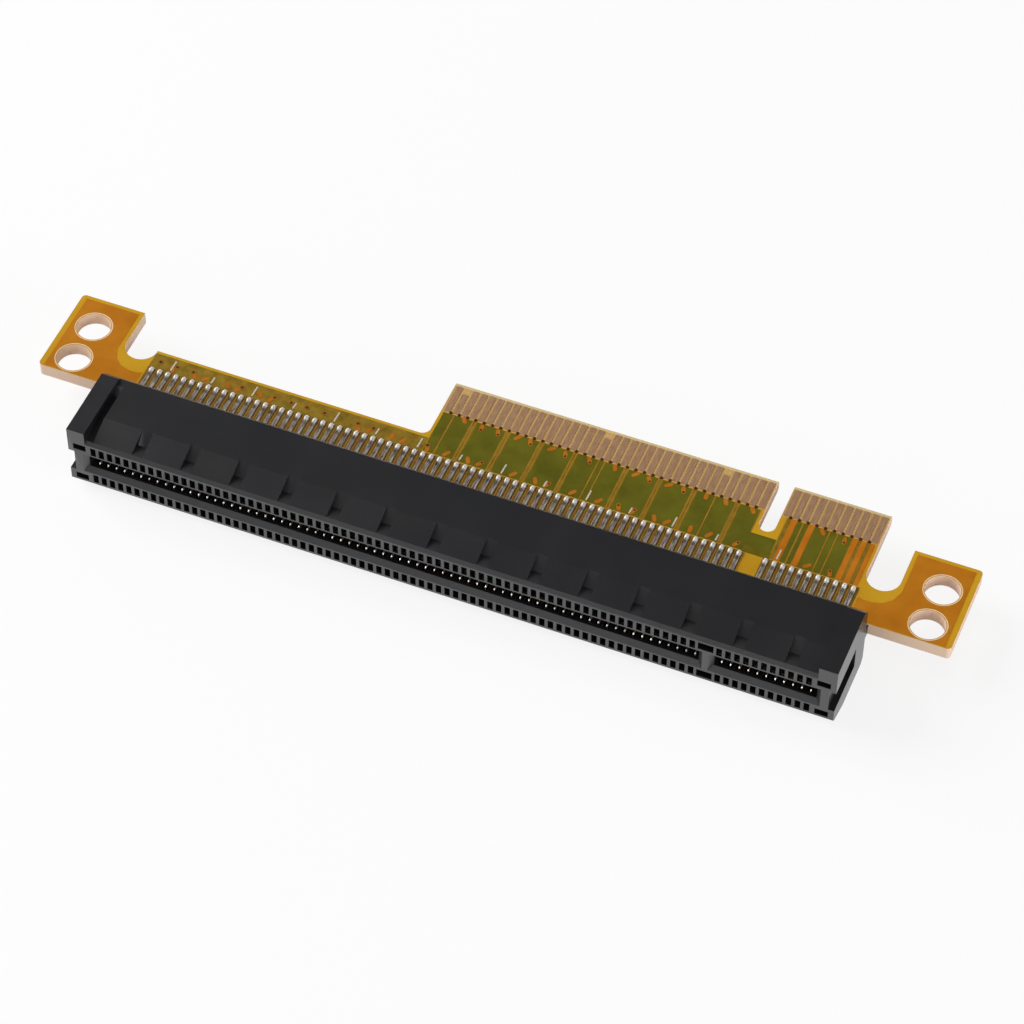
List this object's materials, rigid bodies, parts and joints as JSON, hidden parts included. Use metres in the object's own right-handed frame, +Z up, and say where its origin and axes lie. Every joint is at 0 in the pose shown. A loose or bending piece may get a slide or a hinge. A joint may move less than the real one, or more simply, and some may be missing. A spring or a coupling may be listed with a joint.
{
  "type": "riser adapter card",
  "caption": "Riser card: a keyed expansion slot straddle mounted on the edge of a small board, with a keyed plug tongue opposite and a screw tab at each end.",
  "frame": {"origin": "under the middle of the whole card, on the flat lower face of the slot housing that it rests on", "axes": "+X along the contact rows, towards contact 1; +Y from the slot towards the tip of the tongue; +Z up from the board's component side"},
  "size_m": [0.1074, 0.0262, 0.0093],
  "materials": {
    "board_laminate": "glass laminate with a glossy amber solder mask",
    "housing_nylon": "moulded glass filled nylon, satin",
    "contact_bronze": "tin plated bronze strip, bright",
    "finger_gold": "worn gold plating over copper, satin"
  },
  "bodies": {
    "root": {"circuit_board": "board_laminate", "lower_contacts_1": "contact_bronze", "lower_contacts_2": "contact_bronze", "lower_contacts_3": "contact_bronze", "lower_contacts_4": "contact_bronze", "lower_contacts_5": "contact_bronze", "lower_contacts_6": "contact_bronze", "lower_contacts_7": "contact_bronze", "lower_fingers_long": "finger_gold", "lower_fingers_short": "finger_gold", "slot_housing": "housing_nylon", "upper_contacts_1": "contact_bronze", "upper_contacts_2": "contact_bronze", "upper_contacts_3": "contact_bronze", "upper_contacts_4": "contact_bronze", "upper_contacts_5": "contact_bronze", "upper_contacts_6": "contact_bronze", "upper_contacts_7": "contact_bronze", "upper_fingers_long": "finger_gold", "upper_fingers_short": "finger_gold"}
  },
  "joints": []
}
